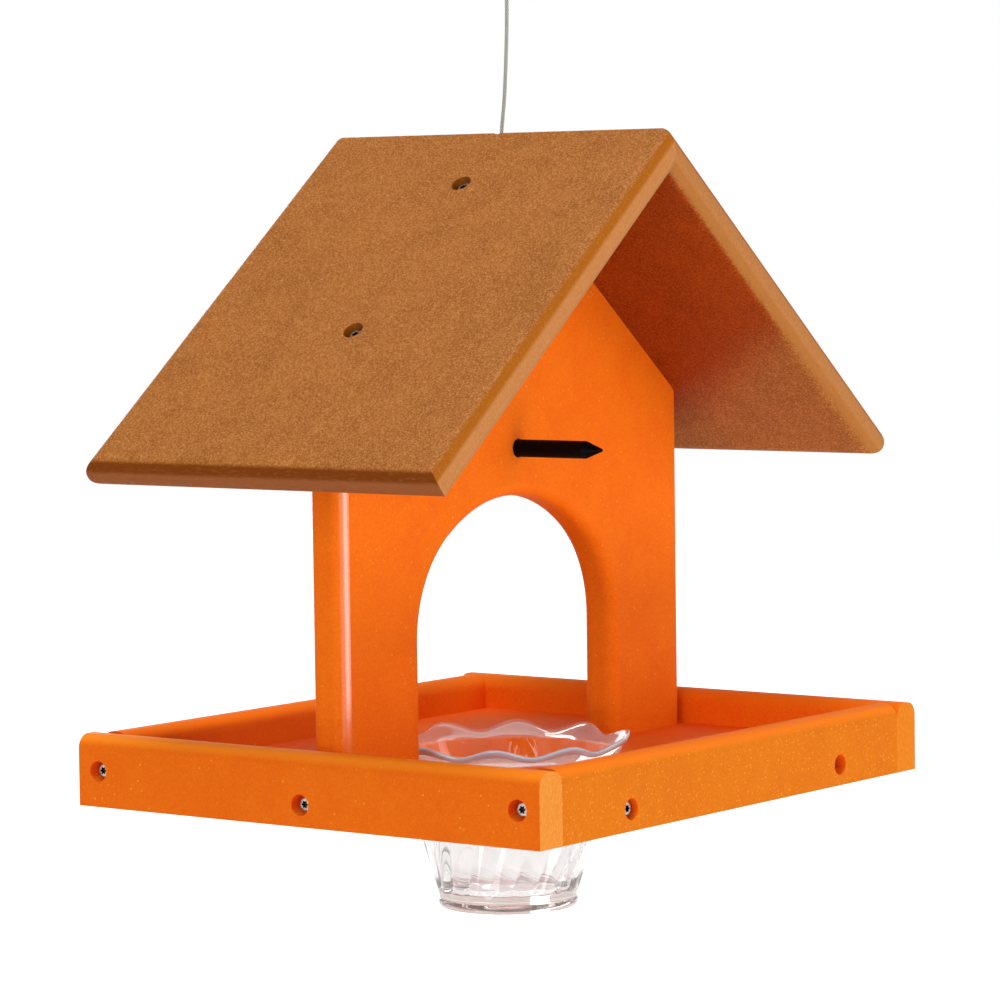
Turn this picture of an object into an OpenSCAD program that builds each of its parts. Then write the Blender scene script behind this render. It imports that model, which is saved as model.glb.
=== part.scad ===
// Hanging oriole feeder of thick recycled-plastic boards: a shallow tray, a house-shaped
// gable panel with an arch, a two-board roof, a spike for orange halves, and a ruffled
// glass jelly cup that hangs in the tray's floor. A wire rope carries it from the ridge.
// X runs across the gable, Y along the ridge, Z up. The origin is the point inside the
// rope's loop where a hook bears, so the whole feeder hangs below it.

/* [Boards] */
// Thickness of the tray's and the roof's boards
board_t = 15.9; // [15.2:0.1:19]
// Radius of the router's round-over on the exposed edges of the tray and the panel
round_r = 6.35; // [3:0.05:6.9]

/* [Tray] */
// Tray width across the gable, over the side rails
tray_w = 296; // [280:1:340]
// Tray depth along the ridge, over the front and back rails
tray_d = 256; // [200:1:320]
// Height of the tray's rails
rail_h = 32; // [28:0.5:50]

/* [Gable panel] */
// Thickness of the panel
panel_t = 18.5; // [15.2:0.1:20]
// Gap between each edge of the panel and the side rail beside it
panel_gap = 3; // [0.5:0.1:12]
// Height of the panel's shoulders above the underside of the tray
shoulder_z = 173.3; // [160:0.1:220]
// Width of the arch between its straight legs
arch_w = 144.8; // [130:0.2:165]
// Height of the arch's springing above the underside of the tray
spring_z = 73; // [50:1:75]
// Radius of the arch's two side arcs
arch_side_r = 55; // [45:1:60]
// Radius of the arch's crown arc
arch_top_r = 84; // [80:1:100]

/* [Roof] */
// Pitch of the roof, in degrees
roof_pitch = 39; // [34:0.5:44]
// Length of the roof along the ridge
roof_len = 195; // [150:1:260]
// Length of each slope from the ridge to the eave
roof_slope = 227; // [190:1:260]
// Radius of the round-over on the eaves and the rakes
roof_round_r = 7.5; // [3:0.05:7.5]
// Distance down the slope from the ridge to the upper roof screw
ridge_screw_s = 36; // [32:1:50]
// Distance up the slope from the panel's shoulder to the lower roof screw
shoulder_screw_s = 42; // [30:1:60]

/* [Orange spike] */
// Radius of the spike
spike_r = 4; // [3:0.1:6]
// Length of spike that stands out of each face of the panel
spike_out = 46.7; // [30:0.1:80]
// Length of the spike's conical point
spike_cone = 9; // [5:0.5:15]
// Radius of the spike's blunted tip
spike_tip_r = 0.6; // [0.3:0.1:1.2]
// How much thicker the spike is where it is pressed into the panel
spike_grip = 0.3; // [0.1:0.1:0.8]
// Height of the spike's axis above the arch's crown
spike_rise = 21.7; // [15:0.1:28]

/* [Glass cup] */
// Radius of the hole in the floor that the cup hangs in
cup_hole_r = 52.6; // [45:0.1:60]
// Height of the cup from its foot to where it rests on the floor
cup_body_h = 70; // [50:1:85]
// Radius of the cup's foot
cup_foot_r = 32; // [26:0.5:38]
// Mean radius of the ruffled rim
cup_rim_r = 56; // [55:0.5:62]
// Height of the rim's mean line above the floor
cup_rim_rise = 5.2; // [4:0.1:8]
// How far the ruffles move the rim in and out
ruffle_out = 2; // [0.5:0.1:2.4]
// How far the ruffles move the rim up and down
ruffle_up = 2; // [0.5:0.1:2.4]
// Number of ruffles round the rim
ruffles = 10; // [8:1:12]
// Flutes under each ruffle
flutes_per_ruffle = 2; // [1:1:3]
// Depth of the flutes
flute_depth = 0.9; // [0.3:0.1:1.2]
// Turn of the flutes from the foot to the rim, in degrees
flute_turn = 34; // [0:1:60]
// Thickness of the glass at the rim
glass_rim_t = 2.4; // [2:0.1:3]
// Thickness of the glass at the foot of the wall
glass_wall_t = 3.4; // [2.5:0.1:4.5]
// Thickness of the cup's base
glass_base_t = 8; // [5:0.5:12]

/* [Screws] */
// Radius of the counterbore that hides a screw's head
cbore_r = 4.75; // [4.5:0.05:5.5]
// Depth of the counterbore down to the head's seat
cbore_depth = 6.5; // [5:0.1:8]
// Radius of a screw's head
head_r = 3.6; // [3.2:0.1:4.2]
// Height of a screw's head
head_h = 2.4; // [1.8:0.1:3]
// Radius of a screw's shank
shank_r = 1.9; // [1.5:0.1:2.2]
// Length under the head of the screws in the roof and in the middle of the side rails
short_screw = 25; // [20:1:27]
// Length under the head of the other screws
long_screw = 32; // [26:1:36]
// Distance from a side rail's end to its end screw
end_screw_in = 11.5; // [7:0.5:13]
// Height of the floor's edge screws above the underside of the tray
edge_screw_z = 9.5; // [6:0.5:10]
// Half the spacing of the two edge screws in the front rail and in the back rail
edge_screw_x = 82.5; // [60:0.5:110]
// Distance of the inner foot screw from the panel's leg edge
foot_screw_in = 13; // [10:0.5:18]
// Spacing of the two foot screws in each leg
foot_screw_gap = 20; // [14:0.5:24]

/* [Wire rope] */
// Height of the hook's bearing point above the ridge
cable_rise = 120; // [120:1:160]
// Radius of the wire rope
cable_r = 0.9; // [0.6:0.1:1]
// Radius of the hole through the ridge
ridge_hole_r = 2.5; // [2:0.1:4]
// Radius of the bore down the panel's peak
rope_bore_r = 1.6; // [1.4:0.1:2.4]
// Radius of the cross hole that holds the rope's stop
pocket_r = 8; // [7:0.5:10]
// Distance of the cross hole's axis below the panel's peak
pocket_drop = 42; // [34:1:50]
// Radius of the washer that bears in the cross hole
washer_r = 5; // [4:0.1:6]
// Thickness of the washer
washer_t = 1; // [0.8:0.1:1.5]
// Radius of the stop crimped on the rope's lower end
stop_r = 2.4; // [2:0.1:3]
// Length of the stop
stop_len = 8; // [6:0.5:9]

/* [Hidden] */

$fn = 64;
// Radial clearance of a pressed or screwed joint
fit = 0.05;
// Clearance between the cup and the floor that carries it
loose = 0.3;
// Overshoot of a cutting body past the face it cuts
over = 2;
// Room inside the tray's rails
inner_w = tray_w - 2 * board_t;
inner_d = tray_d - 2 * board_t;
// Width of the gable panel
panel_w = inner_w - 2 * panel_gap;

// Colours of the materials
orange = [0.91, 0.42, 0.09];
cedar = [0.68, 0.44, 0.23];
steel = [0.72, 0.72, 0.72];
black = [0.06, 0.06, 0.06];
clear_glass = [0.85, 0.9, 0.92, 0.5];

// Heights above the underside of the tray
peak_z = shoulder_z + panel_w / 2 * tan(roof_pitch);
ridge_z = peak_z + board_t / cos(roof_pitch);
hang_z = ridge_z + cable_rise;
floor_top = board_t;
pocket_z = peak_z - pocket_drop;

// Three-centred arch: a side arc each side, tangent to the crown arc
arch_a = arch_w / 2;
side_x = arch_a - arch_side_r;
crown_gap = arch_top_r - arch_side_r;
crown_z = spring_z - sqrt(crown_gap * crown_gap - side_x * side_x);
arch_top = crown_z + arch_top_r;
join_angle = acos(side_x / crown_gap);
arch_edge_w = 2 * round_r;
spike_z = arch_top + spike_rise;

// Distance down the outer slope that lies square above the panel's shoulder
shoulder_s = panel_w / 2 / cos(roof_pitch) + board_t * tan(roof_pitch);
roof_screw_s = [ridge_screw_s, shoulder_s - shoulder_screw_s];

// Shape of a screw
dome_r = 4.6;
tip_len = 4;
tip_r = 0.4;
recess_h = 1.3;
recess_r = 1.15;
lobe_r = 0.42;
lobe_at = 1.25;
lobes = 6;

// Places of the screws: a point on the board's face and the turn of the outward axis
left_rail_places = [for (s = [-1, 1])
    [[-tray_w / 2, s * (tray_d / 2 - end_screw_in), rail_h / 2], [0, -90, 0]]];
left_mid_places = [[[-tray_w / 2, 0, edge_screw_z], [0, -90, 0]]];
front_places = [for (s = [-1, 1]) [[s * edge_screw_x, -tray_d / 2, edge_screw_z], [90, 0, 0]]];
foot_at = [arch_a + foot_screw_in, arch_a + foot_screw_in + foot_screw_gap];
foot_places = [for (s = [-1, 1], x = foot_at) [[s * x, 0, 0], [180, 0, 0]]];
right_roof_places = [for (s = roof_screw_s)
    [[s * cos(roof_pitch), 0, ridge_z - s * sin(roof_pitch)], [0, roof_pitch, 0]]];

// Hangs the feeder, which is drawn with its underside at zero, below the hook
module hung() {
    translate([0, 0, -hang_z])
        children();
}

// Lays its children at each place of a list
module at_places(places) {
    for (p = places)
        translate(p[0])
            rotate(p[1])
                children();
}

// Counterbore and shank hole, cut from the face at z = 0 downwards
module screw_hole(len) {
    translate([0, 0, -cbore_depth])
        cylinder(h = cbore_depth + over, r = cbore_r);
    translate([0, 0, -cbore_depth - len - over])
        cylinder(h = len + 2 * over, r = shank_r + fit);
}

// Six-lobed drive recess
module star_recess() {
    cylinder(h = recess_h + over, r = recess_r);
    for (i = [0 : lobes - 1])
        rotate(i * 360 / lobes)
            translate([lobe_at, 0, 0])
                cylinder(h = recess_h + over, r = lobe_r, $fn = 24);
}

// Screw seated in its counterbore, its axis along Z and the board's face at z = 0
module screw(len) {
    translate([0, 0, -cbore_depth]) {
        difference() {
            intersection() {
                cylinder(h = head_h, r = head_r);
                translate([0, 0, head_h - dome_r])
                    sphere(r = dome_r);
            }
            translate([0, 0, head_h - recess_h])
                star_recess();
        }
        translate([0, 0, tip_len - len])
            cylinder(h = len - tip_len, r = shank_r);
        translate([0, 0, -len])
            cylinder(h = tip_len, r1 = tip_r, r2 = shank_r);
    }
}

// What a router leaves out along an edge: a square bar less its round, along Z.
// The edge is at the origin and the board fills the quarter x < 0, y < 0.
module round_over_profile(r) {
    translate([-r, -r])
        difference() {
            square(r + over);
            circle(r = r);
        }
}

// The same along Z, from one height to another
module round_over(r, from, to) {
    translate([0, 0, from])
        linear_extrude(to - from)
            round_over_profile(r);
}

// Section of a rail: its foot square, both upper edges rounded, the outer face at x = 0
module rail_section() {
    difference() {
        square([board_t, rail_h]);
        translate([board_t, rail_h])
            round_over_profile(round_r);
        translate([0, rail_h])
            mirror([1, 0])
                round_over_profile(round_r);
    }
}

module left_rail_body() {
    difference() {
        translate([-tray_w / 2, tray_d / 2, 0])
            rotate([90, 0, 0])
                linear_extrude(tray_d)
                    rail_section();
        at_places(left_rail_places)
            screw_hole(long_screw);
        at_places(left_mid_places)
            screw_hole(short_screw);
    }
}

module front_rail_body() {
    difference() {
        translate([-inner_w / 2, -tray_d / 2, 0])
            rotate([90, 0, 90])
                linear_extrude(inner_w)
                    rail_section();
        at_places(front_places)
            screw_hole(long_screw);
        for (m = [0, 1])
            mirror([m, 0, 0])
                at_places(left_rail_places)
                    screw_hole(long_screw);
    }
}

module left_side_rail() {
    color(orange)
        left_rail_body();
}

module right_side_rail() {
    color(orange)
        mirror([1, 0, 0])
            left_rail_body();
}

module front_rail() {
    color(orange)
        front_rail_body();
}

module back_rail() {
    color(orange)
        mirror([0, 1, 0])
            front_rail_body();
}

// Floor board between the rails, flush with their underside, with the cup's hole
module tray_floor() {
    color(orange)
        difference() {
            translate([-inner_w / 2, -inner_d / 2, 0])
                cube([inner_w, inner_d, board_t]);
            translate([0, 0, -over])
                cylinder(h = board_t + 2 * over, r = cup_hole_r, $fn = 128);
            for (m = [0, 1]) {
                mirror([m, 0, 0])
                    at_places(left_mid_places)
                        screw_hole(short_screw);
                mirror([0, m, 0])
                    at_places(front_places)
                        screw_hole(long_screw);
            }
            at_places(foot_places)
                screw_hole(long_screw);
        }
}

// Points on an arc of a circle in the panel's plane, from one angle to another
function arc_points(x, z, r, from, to, steps) =
    [for (i = [0 : steps]) let (a = from + (to - from) * i / steps) [x + r * cos(a), z + r * sin(a)]];

// A prism through the panel, its section drawn in the panel's plane
module through_panel(points) {
    translate([0, panel_t / 2 + over, 0])
        rotate([90, 0, 0])
            linear_extrude(panel_t + 2 * over)
                polygon(points);
}

// Rough opening that the arch's edge is set into
module arch_rough_opening() {
    margin = arch_edge_w - over;
    half_w = arch_a + margin;
    steps = 5;
    side = arc_points(side_x, spring_z, arch_side_r + margin, 0, join_angle, steps);
    crown = arc_points(0, crown_z, arch_top_r + margin, join_angle, 90, steps);
    right = concat([[half_w, floor_top - over]], side, [for (i = [1 : steps]) crown[i]]);
    left = [for (i = [len(right) - 2 : -1 : 0]) [-right[i][0], right[i][1]]];
    through_panel(concat(right, left));
}

// Wedge that holds the crown arc: its sides run through the centres of the arcs
module crown_wedge() {
    reach = 2 * arch_top_r;
    through_panel([[0, crown_z], [reach * cos(join_angle), crown_z + reach * sin(join_angle)],
                   [-reach * cos(join_angle), crown_z + reach * sin(join_angle)]]);
}

// Section of the arch's edge: the reveal at x = 0, with both of its corners rounded
module arch_edge_section() {
    difference() {
        translate([0, -panel_t / 2])
            square([arch_edge_w, panel_t]);
        for (m = [0, 1])
            mirror([0, m])
                translate([0, panel_t / 2])
                    mirror([1, 0])
                        round_over_profile(round_r);
    }
}

// The edge turned round an arc's centre, up to the given angle
module arch_edge_turn(x, z, radius, sweep) {
    translate([x, 0, z])
        rotate([90, 0, 0])
            rotate_extrude(angle = sweep, $fn = 192)
                translate([radius, 0])
                    arch_edge_section();
}

// The rounded edge all round the arch: two legs, two side arcs and the crown
module arch_edge() {
    for (m = [0, 1])
        mirror([m, 0, 0]) {
            translate([arch_a, 0, floor_top])
                linear_extrude(spring_z - floor_top)
                    arch_edge_section();
            difference() {
                arch_edge_turn(side_x, spring_z, arch_side_r, 90);
                crown_wedge();
            }
        }
    intersection() {
        arch_edge_turn(0, crown_z, arch_top_r, 180);
        crown_wedge();
    }
}

// Outline of the panel, up to the roof's underside, with no arch yet
module panel_blank() {
    half = panel_w / 2;
    difference() {
        translate([0, panel_t / 2, 0])
            rotate([90, 0, 0])
                linear_extrude(panel_t)
                    polygon([[-half, floor_top], [half, floor_top], [half, shoulder_z],
                             [0, peak_z], [-half, shoulder_z]]);
        for (f = [0, 1], m = [0, 1])
            mirror([0, f, 0])
                mirror([m, 0, 0])
                    translate([half, panel_t / 2, 0])
                        round_over(round_r, floor_top - over, shoulder_z + 2 * round_r);
    }
}

// House-shaped panel with its arch, all its exposed upright edges rounded
module gable_panel() {
    color(orange)
        difference() {
            union() {
                difference() {
                    panel_blank();
                    arch_rough_opening();
                }
                arch_edge();
            }
            at_places(foot_places)
                screw_hole(long_screw);
            for (m = [0, 1])
                mirror([m, 0, 0])
                    at_places(right_roof_places)
                        screw_hole(short_screw);
            translate([0, 0, spike_z])
                rotate([90, 0, 0])
                    cylinder(h = panel_t + 2 * over, r = spike_r + spike_grip + fit, center = true);
            translate([0, 0, pocket_z])
                rotate([90, 0, 0])
                    cylinder(h = panel_t + 2 * over, r = pocket_r, center = true);
            translate([0, 0, pocket_z])
                cylinder(h = pocket_drop + over, r = rope_bore_r, $fn = 32);
        }
}

// Right slope of the roof: the upper face runs down from the ridge, the ridge end is
// mitred upright, and the eave and both rakes are rounded above and below
module right_roof_body() {
    difference() {
        translate([0, 0, ridge_z])
            rotate([0, roof_pitch, 0])
                difference() {
                    translate([-board_t, -roof_len / 2, -board_t])
                        cube([roof_slope + board_t, roof_len, board_t]);
                    translate([0, 0, -board_t / 2])
                        for (f = [0, 1])
                            mirror([0, 0, f]) {
                                translate([roof_slope, 0, board_t / 2])
                                    rotate([90, 0, 0])
                                        round_over(roof_round_r, -roof_len, roof_len);
                                for (m = [0, 1])
                                    mirror([0, m, 0])
                                        translate([0, roof_len / 2, board_t / 2])
                                            rotate([90, 0, 90])
                                                round_over(roof_round_r, -2 * board_t,
                                                           roof_slope + over);
                            }
                }
        translate([-roof_slope, -roof_len, 0])
            cube([roof_slope, 2 * roof_len, 2 * ridge_z]);
        at_places(right_roof_places)
            screw_hole(short_screw);
        translate([0, 0, peak_z - over])
            cylinder(h = ridge_z, r = ridge_hole_r);
    }
}

module right_roof_board() {
    color(cedar)
        right_roof_body();
}

module left_roof_board() {
    color(cedar)
        mirror([1, 0, 0])
            right_roof_body();
}

// One rod pointed at both ends, with a thicker middle that is pressed into the panel
module orange_spike() {
    reach = panel_t / 2 + spike_out;
    color(black)
        translate([0, 0, spike_z])
            rotate([90, 0, 0])
                union() {
                    cylinder(h = panel_t, r = spike_r + spike_grip, center = true);
                    cylinder(h = 2 * (reach - spike_cone), r = spike_r, center = true);
                    for (f = [0, 1])
                        mirror([0, 0, f])
                            translate([0, 0, reach - spike_cone])
                                cylinder(h = spike_cone, r1 = spike_r, r2 = spike_tip_r);
                }
}

// Glass cup: rings of points swept round the axis, each ring a height above the foot, a
// radius, and how much of the flutes and of the ruffles it takes
foot_chamfer = 1.2;
foot_ring_h = 3.6;
flute_start_h = 9;
flute_full_h = 12;
seat_r = cup_hole_r - loose;
rim_h = cup_body_h + cup_rim_rise;
flute_count = ruffles * flutes_per_ruffle;
cup_steps = 4 * flute_count;
ruffle_phase = 31.7;
wall_belly = 0.93;
flute_bottom_r = cup_foot_r + 1;

// Outer radius of the plain wall at height h above the foot
function wall_r(h) =
    let (u = (h - flute_start_h) / (cup_body_h - flute_start_h))
    flute_bottom_r + (seat_r - flute_bottom_r) * u * (wall_belly + (1 - wall_belly) * u);

// Thickness of the wall, which thins towards the rim
function wall_t(h) = glass_wall_t + (glass_rim_t - glass_wall_t) * h / rim_h;

wall_steps = 5;
outer_rows = concat(
    [[foot_chamfer, cup_foot_r - 7, 0, 0], [0, cup_foot_r - 5, 0, 0],
     [0, cup_foot_r - foot_chamfer, 0, 0], [foot_chamfer, cup_foot_r, 0, 0],
     [foot_ring_h, cup_foot_r, 0, 0], [foot_ring_h + 0.6, cup_foot_r - 0.5, 0, 0],
     [flute_start_h, flute_bottom_r, 0, 0]],
    [for (i = [0 : wall_steps])
        let (h = flute_full_h + (cup_body_h - 8 - flute_full_h) * i / wall_steps)
        [h, wall_r(h), 1, 0]],
    [[cup_body_h - 3, wall_r(cup_body_h - 3), 0.5, 0.1],
     [cup_body_h + loose, seat_r, 0.2, 0.3],
     [cup_body_h + 0.6 * cup_rim_rise, (seat_r + cup_rim_r) / 2 + 0.4, 0, 0.75],
     [rim_h - 0.2, cup_rim_r, 0, 1],
     [rim_h + 0.7, cup_rim_r, 0, 1]]);
inner_rows = concat(
    [[rim_h + 1, cup_rim_r - 1, 0, 1],
     [cup_body_h + 0.6 * cup_rim_rise + 0.4, (seat_r + cup_rim_r) / 2 - glass_rim_t + 0.4, 0, 0.75],
     [cup_body_h + loose, seat_r - glass_rim_t, 0, 0.3]],
    [for (i = [wall_steps : -1 : 0])
        let (h = glass_base_t + 7 + (cup_body_h - 6 - glass_base_t - 7) * i / wall_steps)
        [h, wall_r(h) - wall_t(h), 0, 0]],
    [[glass_base_t + 2, wall_r(glass_base_t + 2) - wall_t(0) - 1.6, 0, 0],
     [glass_base_t, wall_r(glass_base_t) - wall_t(0) - 5, 0, 0]]);
cup_rows = concat(outer_rows, inner_rows);

// A point of the cup on a row: the mesh turns with the flutes from the foot to the rim
function cup_point(row, turned) =
    let (a = turned + flute_turn * row[0] / rim_h,
         wave = row[3] * cos(ruffles * (a - ruffle_phase)),
         flute = row[2] * flute_depth * (1 - abs(sin(flute_count / 2 * turned))),
         r = row[1] + wave * ruffle_out - flute)
    [r * cos(a), r * sin(a), row[0] + wave * ruffle_up];

cup_points = [for (row = cup_rows) for (i = [0 : cup_steps - 1]) cup_point(row, i * 360 / cup_steps)];
cup_faces = concat(
    [[for (i = [0 : cup_steps - 1]) i]],
    [for (j = [0 : len(cup_rows) - 2]) for (i = [0 : cup_steps - 1])
        let (a = j * cup_steps + i, b = j * cup_steps + (i + 1) % cup_steps)
        [a, a + cup_steps, b]],
    [for (j = [0 : len(cup_rows) - 2]) for (i = [0 : cup_steps - 1])
        let (a = j * cup_steps + i, b = j * cup_steps + (i + 1) % cup_steps)
        [b, a + cup_steps, b + cup_steps]],
    [[for (i = [cup_steps - 1 : -1 : 0]) (len(cup_rows) - 1) * cup_steps + i]]);

module glass_cup() {
    color(clear_glass)
        translate([0, 0, floor_top - cup_body_h])
            polyhedron(points = cup_points, faces = cup_faces, convexity = 6);
}

module left_rail_screws() {
    color(steel) {
        at_places(left_rail_places)
            screw(long_screw);
        at_places(left_mid_places)
            screw(short_screw);
    }
}

module right_rail_screws() {
    mirror([1, 0, 0])
        left_rail_screws();
}

module front_rail_screws() {
    color(steel)
        at_places(front_places)
            screw(long_screw);
}

module back_rail_screws() {
    mirror([0, 1, 0])
        front_rail_screws();
}

module panel_foot_screws() {
    color(steel)
        at_places(foot_places)
            screw(long_screw);
}

module right_roof_screws() {
    color(steel)
        at_places(right_roof_places)
            screw(short_screw);
}

module left_roof_screws() {
    mirror([1, 0, 0])
        right_roof_screws();
}

// Wire rope: a round tube along these points, from its stop in the panel, up through the
// ridge and the sleeve, round the loop and back into the sleeve. Heights from the hook.
cable_points = [
    [0, 0, -187], [0, 0, -177], [0, 0, -166], [0, 0, -155], [0.2, -0.25, -143.5],
    [0.6, -0.8, -131], [1, -1.3, -119.5], [1.7, -2.3, -107], [2.2, -2.9, -95], [2.5, -3.4, -83],
    [2.7, -3.7, -72], [2.8, -3.8, -62], [2.8, -3.8, -54], [2.8, -3.8, -47], [3, -3.75, -41],
    [3.8, -3.6, -35.5], [5.5, -3.3, -30], [7.8, -2.9, -24.6], [10, -2.3, -19], [11.4, -1.6, -13],
    [11.1, -0.9, -7.1], [8.6, -0.4, -2.3], [4.6, -0.1, 0.2], [0, 0, 0.9], [-4.6, -0.1, 0.2],
    [-8.6, -0.4, -2.3], [-11.1, -0.9, -7.1], [-11.3, -1.6, -13], [-9.6, -2.3, -19],
    [-7, -2.9, -24.6], [-4.2, -3.3, -30], [-1.8, -3.6, -35.5], [-0.4, -3.75, -41],
    [0, -3.8, -47], [0, -3.8, -58]];
cable_sides = 8;
cable_steps = 2;
sleeve_low = -56;
sleeve_high = -46;
sleeve_r = 2.2;
sleeve_at = [1.4, -3.8];
sleeve_half_gap = 1.4;

// Point at fraction t between p1 and p2 on a smooth curve through four points
function smooth_point(p0, p1, p2, p3, t) =
    0.5 * (2 * p1 + (p2 - p0) * t + (2 * p0 - 5 * p1 + 4 * p2 - p3) * t * t
           + (3 * p1 - p0 - 3 * p2 + p3) * t * t * t);

function clamp_index(i, list) = max(0, min(len(list) - 1, i));

function smooth_path(p, steps) = concat(
    [for (i = [0 : len(p) - 2]) for (k = [0 : steps - 1])
        smooth_point(p[clamp_index(i - 1, p)], p[i], p[i + 1], p[clamp_index(i + 2, p)], k / steps)],
    [p[len(p) - 1]]);

function unit(v) = v / norm(v);

// Tube of the given radius along a path that never runs along Y
module tube(path, r, sides) {
    n = len(path);
    points = [for (i = [0 : n - 1])
        let (along = unit(path[min(i + 1, n - 1)] - path[max(i - 1, 0)]),
             across = unit(cross([0, 1, 0], along)),
             up = cross(along, across))
        for (k = [0 : sides - 1])
            let (a = (k + 0.5) * 360 / sides)
            path[i] + r * (cos(a) * across + sin(a) * up)];
    faces = concat(
        [[for (k = [sides - 1 : -1 : 0]) k]],
        [for (i = [0 : n - 2]) for (k = [0 : sides - 1])
            let (a = i * sides + k, b = i * sides + (k + 1) % sides)
            [a, b, b + sides]],
        [for (i = [0 : n - 2]) for (k = [0 : sides - 1])
            let (a = i * sides + k, b = i * sides + (k + 1) % sides)
            [a, b + sides, a + sides]],
        [[for (k = [0 : sides - 1]) (n - 1) * sides + k]]);
    polyhedron(points = points, faces = faces, convexity = 8);
}

module hanging_cable() {
    color(steel)
        translate([0, 0, hang_z])
            tube(smooth_path(cable_points, cable_steps), cable_r, cable_sides);
}

// Oval sleeve crimped over both parts of the rope under the loop
module loop_sleeve() {
    color(steel)
        translate([sleeve_at[0], sleeve_at[1], hang_z + sleeve_low])
            difference() {
                linear_extrude(sleeve_high - sleeve_low)
                    union() {
                        for (s = [-1, 1])
                            translate([s * sleeve_half_gap, 0])
                                circle(r = sleeve_r);
                        translate([-sleeve_half_gap, -sleeve_r])
                            square([2 * sleeve_half_gap, 2 * sleeve_r]);
                    }
                for (s = [-1, 1])
                    translate([s * sleeve_half_gap, 0, -over])
                        cylinder(h = sleeve_high - sleeve_low + 2 * over, r = cable_r + fit, $fn = 32);
            }
}

// Height of the washer's upper face over the cross hole's axis, where its rim bears
washer_top = sqrt(pocket_r * pocket_r - washer_r * washer_r) - fit;

module stop_washer() {
    color(steel)
        translate([0, 0, pocket_z + washer_top - washer_t])
            difference() {
                cylinder(h = washer_t, r = washer_r);
                translate([0, 0, -over])
                    cylinder(h = washer_t + 2 * over, r = rope_bore_r, $fn = 32);
            }
}

module rope_stop() {
    color(steel)
        translate([0, 0, pocket_z + washer_top - washer_t - stop_len])
            difference() {
                cylinder(h = stop_len, r = stop_r);
                translate([0, 0, -over])
                    cylinder(h = stop_len + 2 * over, r = cable_r + fit, $fn = 32);
            }
}

hung() left_side_rail();
hung() right_side_rail();
hung() front_rail();
hung() back_rail();
hung() tray_floor();
hung() gable_panel();
hung() left_roof_board();
hung() right_roof_board();
hung() orange_spike();
hung() glass_cup();
hung() left_rail_screws();
hung() right_rail_screws();
hung() front_rail_screws();
hung() back_rail_screws();
hung() panel_foot_screws();
hung() left_roof_screws();
hung() right_roof_screws();
hung() hanging_cable();
hung() loop_sleeve();
hung() rope_stop();
hung() stop_washer();
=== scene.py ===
"""Oriole feeder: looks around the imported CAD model, in metres, +Z up, hook at the origin."""

import math

import bpy
from mathutils import Matrix, Vector


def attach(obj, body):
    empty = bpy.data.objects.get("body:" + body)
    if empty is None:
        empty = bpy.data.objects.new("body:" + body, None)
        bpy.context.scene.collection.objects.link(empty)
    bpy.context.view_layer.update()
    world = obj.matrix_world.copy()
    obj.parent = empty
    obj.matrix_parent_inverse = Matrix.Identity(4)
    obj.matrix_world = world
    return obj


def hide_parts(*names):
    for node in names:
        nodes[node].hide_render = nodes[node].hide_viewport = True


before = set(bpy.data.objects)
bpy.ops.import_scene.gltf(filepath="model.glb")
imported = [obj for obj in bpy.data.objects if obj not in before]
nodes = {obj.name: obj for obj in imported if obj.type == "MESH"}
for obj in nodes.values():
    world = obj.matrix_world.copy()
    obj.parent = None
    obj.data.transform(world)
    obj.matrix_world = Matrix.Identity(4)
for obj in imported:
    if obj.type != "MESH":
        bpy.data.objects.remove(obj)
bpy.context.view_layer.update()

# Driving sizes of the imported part, as in its source
BOARD_T = 0.0159
TRAY_W, TRAY_D, RAIL_H = 0.296, 0.256, 0.032
PANEL_GAP, SHOULDER_H, ARCH_W = 0.003, 0.1733, 0.1448
ROOF_LEN = 0.195
PITCH = math.radians(39)
CABLE_RISE = 0.120

# Sizes and heights that follow from them
PANEL_W = TRAY_W - 2 * (BOARD_T + PANEL_GAP)
RIDGE_Z = -CABLE_RISE
PEAK_Z = RIDGE_Z - BOARD_T / math.cos(PITCH)
UNDERSIDE = PEAK_Z - PANEL_W / 2 * math.tan(PITCH) - SHOULDER_H
FLOOR_TOP = UNDERSIDE + BOARD_T
SHOULDER_S = PANEL_W / 2 / math.cos(PITCH) + BOARD_T * math.tan(PITCH)

# Camera, solved from points of the photograph
CAM_PLACE = (-1.483606, -1.116327, -0.161062)
CAM_YAW, CAM_PITCH, CAM_ROLL = -0.929032, -0.063577, -0.013353
CAM_SENSOR, CAM_LENS = 36.0, 146.9469
CAM_SHIFT_X, CAM_SHIFT_Y = -0.016197, -0.016519
CAM_NEAR, CAM_FAR = 0.05, 60.0


def linked_object(name, data):
    obj = bpy.data.objects.new(name, data)
    bpy.context.scene.collection.objects.link(obj)
    return obj


def photo_camera():
    data = bpy.data.cameras.new("camera")
    data.sensor_width = CAM_SENSOR
    data.lens = CAM_LENS
    data.shift_x = CAM_SHIFT_X
    data.shift_y = CAM_SHIFT_Y
    data.clip_start = CAM_NEAR
    data.clip_end = CAM_FAR
    camera = linked_object("camera", data)
    camera.matrix_world = (Matrix.Translation(CAM_PLACE) @ Matrix.Rotation(CAM_YAW, 4, "Z")
                           @ Matrix.Rotation(math.pi / 2 + CAM_PITCH, 4, "X")
                           @ Matrix.Rotation(CAM_ROLL, 4, "Z"))
    return camera


bpy.context.scene.camera = photo_camera()


# Mesh helpers
def new_object(name, verts, faces, smooth=True):
    mesh = bpy.data.meshes.new(name)
    mesh.from_pydata([tuple(v) for v in verts], [], faces)
    mesh.validate()
    mesh.update()
    mesh.polygons.foreach_set("use_smooth", [smooth] * len(mesh.polygons))
    return linked_object(name, mesh)


def band(low, high, sides):
    """Faces between two rings of points, each given by the number of its first point."""
    faces = []
    for k in range(sides):
        step = (k + 1) % sides
        faces.append((low + k, low + step, high + step, high + k))
    return faces


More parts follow.
